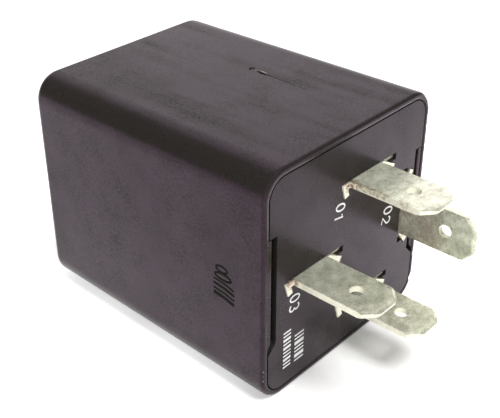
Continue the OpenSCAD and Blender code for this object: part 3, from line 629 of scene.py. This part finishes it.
def build_cover():
    rings = cover_rings()
    shape = Shape().add([p for ring in rings for p in ring], rings_to_faces(len(rings), len(rings[0])))
    for side in (-1, 1):
        shape.add(*guide_pad(side))
    made = shape.piece("cover_shell", [COVER_PLASTIC], "cover_plastic", "cover", ["cover"], sharp=50)
    made.modifiers.new("normals", "WEIGHTED_NORMAL").keep_sharp = True


def cover_skin(x, across, draft, cross_draft):
    """How far a long face of the cover stands from the axis, with its draft and sink."""
    share = -x / CASE_LEN
    t = (x - SKIN_FAR) / (RIM_START - SKIN_FAR)
    fall = sunk(SINK * math.sin(math.pi * t), across, CASE_W - cross_draft * share - CORNER_R)
    return (CASE_W - draft * share) / 2 - fall


def build_rim_specks():
    """Whitish torn bits of flash along the rim, on the right and at the lower left."""
    dice = random.Random(5)
    shape = Shape()
    for start, end, count in (((-0.1, 15.5, 13.0), (-0.1, 15.5, 7.5), 11),
                              ((-0.1, -15.5, -9.5), (-0.1, -15.5, -12.2), 7),
                              ((-0.1, -12.2, -15.5), (-0.1, -5.0, -15.5), 5),
                              ((-0.15, 15.45, -8.5), (-0.15, 15.45, -12.0), 6)):
        for k in range(count):
            at = Vector(start).lerp(Vector(end), (k + dice.random()) / count)
            way = Vector([dice.uniform(-reach, reach) for reach in (1, 0.3, 1)]).normalized()
            size = dice.uniform(0.05, 0.11)
            shape.add(*sweep([at - way * size, at, at + way * size], size * 0.8, size * 0.6, sides=6,
                             taper=[0.4, 1.0, 0.3]))
    shape.piece("rim_specks", [FLECK], "cover_plastic", "cover")


def on_top(path):
    """The points (x, y), laid on the cover's upper face."""
    return [(x, y, cover_skin(x, y, DRAFT_Z, DRAFT_Y)) for x, y in path]


def build_gate_mark():
    """Where the moulding gate was torn off: a dark hook, the scratch it left and a torn flap."""
    hook_steps, flap_steps, steps = 14, 9, 40
    start, length = -19.3, 8.8
    hook = arc((-20.3, 5.0), 0.26, 0.3, 30, 285, hook_steps)
    dark = Shape().add(*sweep(on_top(hook), 0.19, 0.045, Z, taper=swell(hook_steps, 0.6)))
    scratch = [(start + length * k / steps, 4.93 - 0.4 * k / steps + 0.02 * math.sin(k))
               for k in range(steps + 1)]
    widths = [0.9 + 2.6 * math.exp(-((k - 4) / 3.2) ** 2) - 0.6 * k / steps for k in range(steps + 1)]
    dark.add(*sweep(on_top(scratch), 0.1, 0.018, Z, taper=widths))
    dark.piece("gate_mark", [DARK_INK_AND_SHADE], "cover_plastic", "cover")
    flap = [(start + 0.1 + 0.17 * k, 5.1 + 0.05 * math.sin(0.35 * k) - 0.012 * k)
            for k in range(flap_steps + 1)]
    pale = Shape().add(*sweep(on_top(flap), 0.13, 0.08, Z, taper=swell(flap_steps, 0.25)))
    for x, y in ((-19.75, 5.1), (-19.6, 4.92), (-19.45, 5.12)):
        pale.add(*sweep(on_top([(x, y), (x + 0.06, y), (x + 0.12, y)]), 0.05, 0.03, Z))
    pale.piece("gate_scrape", [SCRAPED], "cover_plastic", "cover")


def build_side_stamp():
    """A dark generic stamp on the cover's left face: two rings and four short bars."""
    ink_t = 0.03
    shape = Shape()

    def on_face(path):
        return [(x, -cover_skin(x, z, DRAFT_Y, DRAFT_Z), z) for x, z in path]

    for z, reach in ((1.3, 0.9), (0.3, 1.3)):
        ring = arc((-6.9 + 0.5 * reach, z), reach, 0.42, 0, 336, 14)
        shape.add(*sweep(on_face(ring), 0.17, ink_t, Y, closed=True))
    for z, width in ((-0.6, 0.14), (-1.25, 0.2), (-1.95, 0.16), (-2.6, 0.26)):
        bar = [(-7.8, z + 0.2), (-6.1, z + 0.05), (-4.5, z - 0.3)]
        shape.add(*sweep(on_face(bar), width, ink_t, Y))
    shape.piece("side_stamp", [STAMP_INK], "cover_plastic", "cover")


# ---------------- base plate

GLYPHS = {                           # points across and up, and whether the stroke closes
    "0": (arc((0.3, 0.5), 0.3, 0.5, 0, 345, 22), True),
    "1": ([(0.08, 0.78), (0.34, 1.0), (0.34, 0.0)], False),
    "2": (arc((0.3, 0.72), 0.28, 0.28, 165, -35, 12) + [(0.02, 0.0), (0.6, 0.0)], False),
    "3": (arc((0.28, 0.75), 0.27, 0.25, 150, -85, 12) + arc((0.28, 0.26), 0.31, 0.26, 80, -150, 12), False),
}
INK_T = 0.02


def print_digits(shape, text, start, height, tilt, pitch=0.8):
    """Digits on the base plate. They read downwards, with their tops towards +Y."""
    a = math.radians(tilt)
    down = Vector((0, -math.sin(a), -math.cos(a)))
    up = Vector((0, math.cos(a), -math.sin(a)))
    for place, digit in enumerate(text):
        corner = Vector((INK_T / 2, *start)) + down * place * pitch * height
        path, closed = GLYPHS[digit]
        route = [corner + down * gx * height * 0.9 + up * gy * height for gx, gy in path]
        shape.add(*sweep(route, 0.12, INK_T, X, closed=closed))


def print_bars(shape, start, height, widths, gap=0.3):
    """A row of bars that reads downwards, each with its own width."""
    y, z = start
    for width in widths:
        bar = [(INK_T / 2, y, z - width / 2), (INK_T / 2, y + height, z - width / 2)]
        shape.add(*sweep(bar, width / 2, INK_T, X))
        z -= width + gap


def build_print():
    """White print on the base plate: a generic number at three blades, and two rows of bars."""
    shape = Shape()
    print_digits(shape, "01", (-2.8, 6.7), 1.65, 10)
    print_digits(shape, "02", (7.4, 1.7), 1.75, 12)
    print_digits(shape, "03", (-10.9, -2.1), 1.65, 3)
    print_bars(shape, (-9.9, -8.3), 1.7, [0.24, 0.24, 0.55, 0.24, 0.24, 0.55, 0.24])
    print_bars(shape, (-12.0, -6.8), 1.35, [0.22, 0.22, 0.4, 0.22, 0.4, 0.22, 0.22, 0.4, 0.22, 0.22])
    shape.piece("terminal_print", [WHITE_INK], "base_plastic", "base")


# ---------------- relay details

coil_low, coil_high = node_box("coil_winding")
COIL, coil_half = node_middle("coil_winding")
COIL_R = coil_half.z


def build_winding():
    """The outer layer of wire, one shallow ridge a turn, on a true helix."""
    pitch, tube_r = 0.26, 3.3
    around, per_turn = 72, 6
    ridge = pitch / 2
    steps = int((coil_high.x - coil_low.x) / pitch * per_turn)
    angles = [2 * math.pi * k / around for k in range(around)]
    points = []
    for i in range(steps + 1):
        x = coil_low.x + (coil_high.x - coil_low.x) * i / steps
        for k, a in enumerate(angles):
            phase = (x / pitch - k / around) % 1.0 * 2 - 1
            drop = ridge * (1 - math.sqrt(max(0.0, 1 - phase * phase * 0.95)))
            points.append(about_x(x, COIL, COIL_R - drop, a))
    shape = Shape().add(points, rings_to_faces(steps + 1, around, caps=False))
    for x, flip in ((coil_low.x, False), (coil_high.x, True)):
        ring = [about_x(x, COIL, r, a) for r in (COIL_R - ridge, tube_r) for a in angles]
        faces = rings_to_faces(2, around, caps=False)
        shape.add(ring, faces if flip else [face[::-1] for face in faces])
    shape.piece("coil_turns", [ENAMEL], "enamelled_copper", "base", ["coil_winding"], sharp=80)


def build_coil_ends():
    """The coil's two wire ends, led down to the pins and wrapped round them."""
    pins, pins_half = node_middle("coil_pins")
    wire_r, pin_r, pitch, lift = 0.09, 0.3, 0.135, 0.05
    leave_degrees, fan = 38, 0.1
    top = pins.x - pins_half.x + 0.12
    shape = Shape()
    for side in (-1, 1):
        pin = pins + Y * side * (pins_half.y - pin_r)
        wrap = [about_x(top + pitch * k / 6, pin, pin_r + wire_r, math.radians(60 * k))
                for k in range(16)]
        leave_a = math.radians(-90 + side * leave_degrees)
        leave = [about_x(coil_high.x - 0.4 - 0.5 * k, COIL, COIL_R + lift, leave_a + side * fan * (2 - k))
                 for k in range(3)]
        slack = ((leave[-1][0] + top) / 2, pin.y - side * 0.5, pin.z + 1.3)
        shape.add(*sweep([*leave, slack, *wrap], wire_r, wire_r))
    shape.piece("coil_ends", [ENAMEL], "enamelled_copper", "base")


def build_spring():
    """Close-wound return spring with a loop at each end."""
    low, high = node_box("return_spring")
    spring_r, wire_r, turns, pitch = 0.85, 0.15, 15, 0.36
    loop_r, loop_up = 0.85, 0.65
    axis_y, axis_z = (low.y + high.y) / 2, 12.4
    near_loop = high.x - loop_r - wire_r
    far_loop = low.x + loop_r + wire_r
    middle = (near_loop + far_loop) / 2
    half = turns * pitch / 2

    def hook(x_coil, x_loop):
        way = math.copysign(1, x_loop - x_coil)
        loop = [(x_loop + way * loop_r * math.cos(a), 0, loop_up + loop_r * math.sin(a))
                for a in [math.radians(degrees) for degrees in range(195, -121, -15)]]
        return [(x_coil + way * 0.4, 0.5, 0.05), (x_coil + way * 0.8, 0.1, 0.1)] + loop

    steps = 24
    coil = [(middle + half - i * pitch / steps, spring_r * math.cos(2 * math.pi * i / steps),
             spring_r * math.sin(2 * math.pi * i / steps)) for i in range(steps * turns + 1)]
    path = hook(middle + half, near_loop)[::-1] + coil + hook(middle - half, far_loop)
    placed = [(x, axis_y + y, axis_z + z) for x, y, z in path]
    shape = Shape().add(*sweep(placed, wire_r, wire_r, sides=10))
    shape.piece("return_spring_wire", [WIRE_STEEL], "spring_wire", "base", ["return_spring"], sharp=60)


BEND_START, BEND_END = (-24, 11.7), (-30.6, 8.8)
BRAID_ROUTE = [(-20.5, 11.45), (-22.5, 11.45), BEND_START, (-25.6, 12.3), (-27.2, 13), (-28.8, 13.2),
               (-30.2, 12.8), (-31.1, 12), (-31.4, 10.9), (-31.1, 9.7), BEND_END, (-30.15, 8.1)]


def smooth_route(points, steps):
    """Points along a Catmull-Rom curve through the given ones."""
    ends = [points[0] * 2 - points[1]] + points + [points[-1] * 2 - points[-2]]
    route = []
    for i in range(1, len(ends) - 2):
        a, b, c, d = ends[i - 1:i + 3]
        for k in range(steps):
            t = k / steps
            route.append(0.5 * (2 * b + (c - a) * t + (2 * a - 5 * b + 4 * c - d) * t * t
                                + (3 * b - a - 3 * c + d) * t ** 3))
    return route + [points[-1]]


def build_braid():
    """A flat woven braid: strands run round it both ways and pass over and under."""
    y = node_middle("contact_braid")[0].y
    route = smooth_route([Vector((x, y, z)) for x, z in BRAID_ROUTE], 14)
    strands, lay, strand_r = 7, 3.4, 0.1
    half_w, half_t = 0.66, 0.2
    shape = Shape()
    for way in (-1, 1):
        for s in range(strands):
            run = 0.0
            path = []
            for i, at in enumerate(route):
                if i:
                    run += (at - route[i - 1]).length
                up = direction(route, i).cross(Y)
                a = 2 * math.pi * (way * run / lay + s / strands)
                weave = 1 + 0.16 * math.cos(strands * 2 * math.pi * run / lay + math.pi * s) * way
                path.append(at + half_w * weave * math.cos(a) * Y + half_t * weave * math.sin(a) * up)
            shape.add(*sweep(path, strand_r, strand_r, sides=6))
    for end in (0, -1):
        at = route[end]
        inward = (route[1] - at) if end == 0 else (route[-2] - at)
        tip = at + inward.normalized() * 1.2
        flat = Y.cross(inward).normalized()
        ferrule = sweep([at, at.lerp(tip, 0.5), tip], half_w + 0.12, half_t + 0.12, flat, sides=12)
        shape.add(*ferrule, look=1)
    made = shape.piece("woven_braid", [COPPER, TINNED], "copper_braid", None, ["contact_braid"],
                       sharp=60)
    start, end = (Vector((x, y, z)) for x, z in (BEND_START, BEND_END))
    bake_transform(made)


# ---------------- board details

board_low, board_high = node_box("circuit_board")
RESISTORS = (                        # (y, z), axis, length, radius, numbers of the bands
    ((-3.6, -12.1), Y, 6.2, 1.15, (1, 2, 1, 4)),
    ((-12.2, 5.2), Z, 4.2, 0.95, (3, 3, 1, 4)),
    ((-12.2, -3.4), Z, 4.2, 0.95, (2, 1, 3, 4)),
)


def build_resistors():
    """Lacquered bodies, thicker at both ends, with four colour bands each."""
    shape = Shape()
    x = board_low.x - 1.4
    half_band, paint_t = 0.18, 0.015
    for (y, z), axis, length, r, bands in RESISTORS:
        half = length / 2
        profile = [(-half, r * 0.3), (-half, r * 0.7), (-half + 0.12, r * 0.9), (-half + 0.4, r)]
        looks = [0, 0, 0]
        for number, at in zip(bands, (-half + 0.85, -half * 0.3, half * 0.02, half - 0.95)):
            radius = r if abs(at) > half - 1.4 else r * 0.88
            profile += [(at - half_band, radius), (at - half_band, radius + paint_t),
                        (at + half_band, radius + paint_t), (at + half_band, radius)]
            looks += [0, number, number, number]
        profile += [(half - 0.4, r), (half - 0.12, r * 0.9), (half, r * 0.7), (half, r * 0.3)]
        looks += [0, 0, 0, 0]
        shape.add(*turned(profile, (x, y, z), axis, 32, looks))
    shape.piece("resistor_bodies", [LACQUER, *BANDS], "resistor_lacquer", "base", ["resistors"],
                sharp=50)


def build_diode():
    """The diode's moulded body, with a pale band at its cathode end."""
    middle, size = node_middle("flyback_diode")
    half, r = size.z, size.y
    profile = [(-half, r * 0.4), (-half, r - 0.2), (-half + 0.06, r - 0.06), (-half + 0.2, r),
               (half - 1.3, r), (half - 0.7, r), (half - 0.2, r), (half - 0.06, r - 0.06),
               (half, r - 0.2), (half, r * 0.4)]
    looks = [0, 0, 0, 0, 1, 0, 0, 0, 0]
    shape = Shape().add(*turned(profile, middle, Z, 40, looks))
    shape.piece("diode_body", [DIODE, DIODE_BAND], "diode_epoxy", "base", ["flyback_diode"], sharp=50)


def build_sleeve():
    """The capacitor's printed sleeve, with a pale stripe that marks the minus lead, and dark lines
    in the score in the top of its can, which are painted shade in its grooves."""
    middle, half = node_middle("capacitor_sleeve")
    foot, top, r, skin = half.x, -half.x, half.z, 0.1
    profile = [(foot, r - 0.6), (foot, r - 0.15), (foot - 0.2, r), (foot - 1.5, r),
               (foot - 2.0, r - 0.14), (foot - 2.5, r), (top + 0.5, r), (top + 0.15, r - 0.1),
               (top, r - 0.4), (top, r - 1.1), (top + skin, r - 1.1), (top + skin, r - 0.42),
               (top + 0.3, r - skin), (foot - 0.1, r - skin), (foot - skin, r - 0.6)]
    segments = 72
    stripe, outside = range(22, 31), (3, 4, 5)             # segments round it, steps along it
    points, faces, _ = turned(profile, middle, X, segments)
    faces = [face[::-1] for face in faces[:-2]]            # without the caps
    looks = [int(i % segments in stripe and i // segments in outside) for i in range(len(faces))]
    shape = Shape().add(points, faces, looks)
    shape.piece("capacitor_wrap", [SLEEVE, STRIPE], "capacitor_sleeve", "base", ["capacitor_sleeve"],
                sharp=50)
    # dark lines in the can's score: painted shade in its grooves
    vent_shade = Shape()
    can_x = node_box("capacitor_can")[0].x
    can_top = Vector((can_x, middle.y, middle.z))
    for degrees in (90, 210, 330):
        tip = Vector(about_x(can_x, middle, r - 1.5, math.radians(degrees)))
        vent_shade.add(*sweep([can_top, can_top.lerp(tip, 0.5), tip], 0.09, 0.03, X))
    vent_shade.piece("capacitor_vent_shade", [DARK_INK_AND_SHADE], "capacitor_aluminium", "base")


def build_film_body():
    """A dipped capacitor body: a pillow with run-down shoulders over its two leads."""
    middle, half = node_middle("film_capacitor")
    rows, around = 28, 48

    def bulge(value, power):
        return math.copysign(abs(value) ** power, value)

    points = []
    for i in range(rows + 1):
        v = math.pi * (i / rows - 0.5)
        ring_share = bulge(math.cos(v), 0.35)
        for k in range(around):
            u = 2 * math.pi * k / around
            points.append(middle + Vector((half.x * bulge(math.sin(v), 0.5),
                                           half.y * ring_share * bulge(math.cos(u), 0.45),
                                           half.z * ring_share * bulge(math.sin(u), 0.6))))
    shape = Shape().add(points, rings_to_faces(rows + 1, around, caps=False))
    made = shape.piece("film_body", [FILM], "film_epoxy", "base", ["film_capacitor"], sharp=70)
    made.modifiers.new("weld", "WELD").merge_threshold = WELD_M


def print_line(shape, path):
    """A closed printed line on the board."""
    shape.add(*sweep(path, 0.09, 0.015, X, sides=6, closed=True))


def print_rectangle(shape, y, z, half_y, half_z):
    """A printed rectangle round (y, z) on the board, with tight corners."""
    corners = [Vector((LEGEND_X, y + way_y * half_y, z + way_z * half_z))
               for way_y, way_z in ((-1, -1), (1, -1), (1, 1), (-1, 1))]
    print_line(shape, [corner.lerp(corners[(i + 1) % 4], t)
                       for i, corner in enumerate(corners) for t in (0.02, 0.5, 0.98)])


LEGEND_X = board_low.x - 0.005
TRACK_X = board_high.x + 0.01
TRACKS = (                           # width, and places (y, z) along it
    (1.3, [(2.65, 8.6), (0.5, 8.6), (-0.5, 11.0), (-0.5, 12.4)]),
    (1.3, [(2.65, 8.6), (5.6, 10.2), (8.6, 8.45)]),
    (1.6, [(2.65, -8.9), (-1.0, -9.4), (-3.2, -8.4), (-5.8, -8.0)]),
    (1.2, [(-3.2, -10.2), (-3.2, -12.1), (0.85, -12.1), (4.1, -12.1)]),
    (0.8, [(-7.4, -0.05), (-10.2, 0.6), (-12.2, 2.0)]),
    (0.8, [(-12.2, -0.2), (-10.6, -1.6), (-7.9, -4.2)]),
    (1.6, [(11.45, 1.4), (12.0, 6.0), (10.6, 11.8), (8.9, 12.4)]),
    (0.7, [(2.9, 2.8), (2.9, 4.9), (6.0, 5.0), (8.6, 4.95)]),
    (0.7, [(2.9, -4.8), (3.6, -8.4), (4.59, -8.4)]),
    (0.7, [(12.21, -8.4), (10.8, -11.0), (9.1, -12.1)]),
)


def build_board_print():
    """Component outlines on the board, and the copper tracks on its other side."""
    legend = Shape()
    for name, margin in (("flasher_chip", 0.8), ("film_capacitor", 0.25)):
        middle, half = node_middle(name)
        print_rectangle(legend, middle.y, middle.z, half.y + margin, half.z + margin)
    for ((y, z), *_), half_y, half_z in zip(RESISTORS, (3.4, 1.0, 1.0), (1.1, 2.4, 2.4)):
        print_rectangle(legend, y, z, half_y, half_z)
    ring_r, steps = 4.05, 60
    can = node_middle("capacitor_sleeve")[0]
    print_line(legend, [about_x(LEGEND_X, can, ring_r, 2 * math.pi * k / steps) for k in range(steps)])
    legend.piece("board_legend", [LEGEND], "board_laminate", "base")

    tracks = Shape()
    for width, path in TRACKS:
        route = smooth_route([Vector((TRACK_X, y, z)) for y, z in path], 5)
        tracks.add(*sweep(route, width / 2, 0.03, X))
    tracks.piece("board_tracks", [TRACK], "solder", "base")


# ---------------- carried-over CAD nodes

soften("base_plate", 0.12, [BASE_PLASTIC], segments=3)
for blade, tin in BLADE_TINS.items():
    # the rounded edges take the paler tin, a painted highlight
    soften(blade, 0.13, [tin, BLADE_EDGE_HIGHLIGHT], segments=3)
for name, width, look in (           # node, width of its broken edges in millimetres, look
        ("circuit_board", 0.06, BOARD), ("solder_joints", 0.08, SOLDER), ("relay_yoke", 0.15, STEEL),
        ("coil_core", 0.12, CORE_STEEL), ("coil_bobbin", 0.1, NYLON), ("coil_pins", 0.06, TINNED),
        ("armature", 0.1, STEEL), ("contact_leaf", 0.04, BRONZE), ("leaf_rivets", 0.08, STEEL),
        ("moving_contact", 0.08, SILVER), ("fixed_contact_post", 0.08, BRASS),
        ("fixed_contact", 0.08, SILVER), ("armature_stop", 0.08, BRASS), ("flasher_chip", 0.08, EPOXY),
        ("flasher_chip_pins", 0.03, TINNED), ("capacitor_can", 0.04, ALUMINIUM),
        ("capacitor_foil_roll", 0.05, ALUMINIUM), ("capacitor_bung", 0.05, RUBBER),
        ("capacitor_leads", 0.05, TINNED), ("film_capacitor_leads", 0.05, TINNED),
        ("resistor_leads", 0.05, TINNED), ("flyback_diode_leads", 0.05, TINNED),
        ("current_shunt", 0.05, ALLOY)):
    soften(name, width, [look])

for build in (build_cover, build_rim_specks, build_gate_mark, build_side_stamp, build_print,
              build_winding, build_coil_ends, build_spring, build_braid, build_resistors,
              build_diode, build_sleeve, build_film_body, build_board_print):
    build()


# ---------------- studio

KEY_WAY = Vector((0.42, 0.0, 0.91))
SUNS = (                             # name, way, strength, spread in degrees
    ("key", KEY_WAY, 3.1, 28),
    ("fill", Vector((0.3, -0.85, 0.43)), 1.5, 40),
)
ROOM = 0.14                          # strength of the room's light
ROOM_COLOUR = (1.0, 0.95, 0.985)
BRIGHT_SPOTS = (                     # way, cosine at the outer and inner edge, strength
    (Vector((-0.62, 0.7, 0.36)), 0.66, 0.86, 1.11),     # backdrop behind the object
    (KEY_WAY, 0.84, 0.96, 0.9),                         # lamp, as mirrored in shiny pieces
)
CAMERA_WHITE = 1.05                  # how bright the camera sees the room


def build_floor():
    """A wide sheet of paper under the object."""
    half = 1.5       # metres
    z = cad_box[0].z
    corners = [(-half, -half, z), (half, -half, z), (half, half, z), (-half, half, z)]
    mesh = bpy.data.meshes.new("floor")
    mesh.from_pydata(corners, [], [[0, 1, 2, 3]])
    mesh.materials.append(floor_paper(z / MM))
    new_object("floor", mesh)


def sun(name, way, strength, spread):
    """A distant soft light from way. Shiny pieces mirror the room's bright spots instead."""
    light = bpy.data.lights.new(name, "SUN")
    light.energy = strength
    light.angle = math.radians(spread)
    made = new_object(name, light)
    made.rotation_euler = way.to_track_quat("Z", "Y").to_euler()
    made.visible_glossy = False


def build_world():
    """A dim room with a bright backdrop and lamp, which the camera itself sees as plain white."""
    world = bpy.data.worlds.new("room")
    world.use_nodes = True
    scene.world = world
    tree = world.node_tree
    place = add_node(tree, "TexCoord", "Generated", {})
    total = ROOM
    for way, outer, inner, strength in BRIGHT_SPOTS:
        cosine = add_node(tree, "VectorMath", "Value", {0: place, 1: way.normalized()},
                          operation="DOT_PRODUCT")
        spot = add_node(tree, "MapRange", 0, {"Value": cosine, "From Min": outer, "From Max": inner,
                                              "To Max": strength}, interpolation_type="SMOOTHSTEP")
        total = add_node(tree, "Math", 0, {0: spot, 1: total}, operation="ADD")
    to_camera = add_node(tree, "LightPath", "Is Camera Ray", {})
    seen = add_node(tree, "Mix", 0, {0: to_camera, 2: total, 3: CAMERA_WHITE}, data_type="FLOAT")
    background = tree.nodes["Background"].inputs
    feed(background["Strength"], seen)
    feed(background["Color"], ROOM_COLOUR)


def build_camera():
    """A camera at the photograph's angle."""
    azimuth, elevation, distance, lens = 42.05, 31.7, 124.4, 69.45
    target = Vector((-14.3, -2.06, 0))
    a, e = math.radians(azimuth), math.radians(elevation)
    back = Vector((math.sin(a) * math.cos(e), -math.cos(a) * math.cos(e), math.sin(e)))
    data = bpy.data.cameras.new("camera")
    data.lens = lens
    data.sensor_width = 36
    data.clip_start = 0.001
    made = new_object("camera", data)
    made.location = (target + back * distance) * MM
    made.rotation_euler = (-back).to_track_quat("-Z", "Y").to_euler()
    scene.camera = made


build_floor()
build_world()
for lamp in SUNS:
    sun(*lamp)
build_camera()
scene.view_settings.view_transform = "Standard"
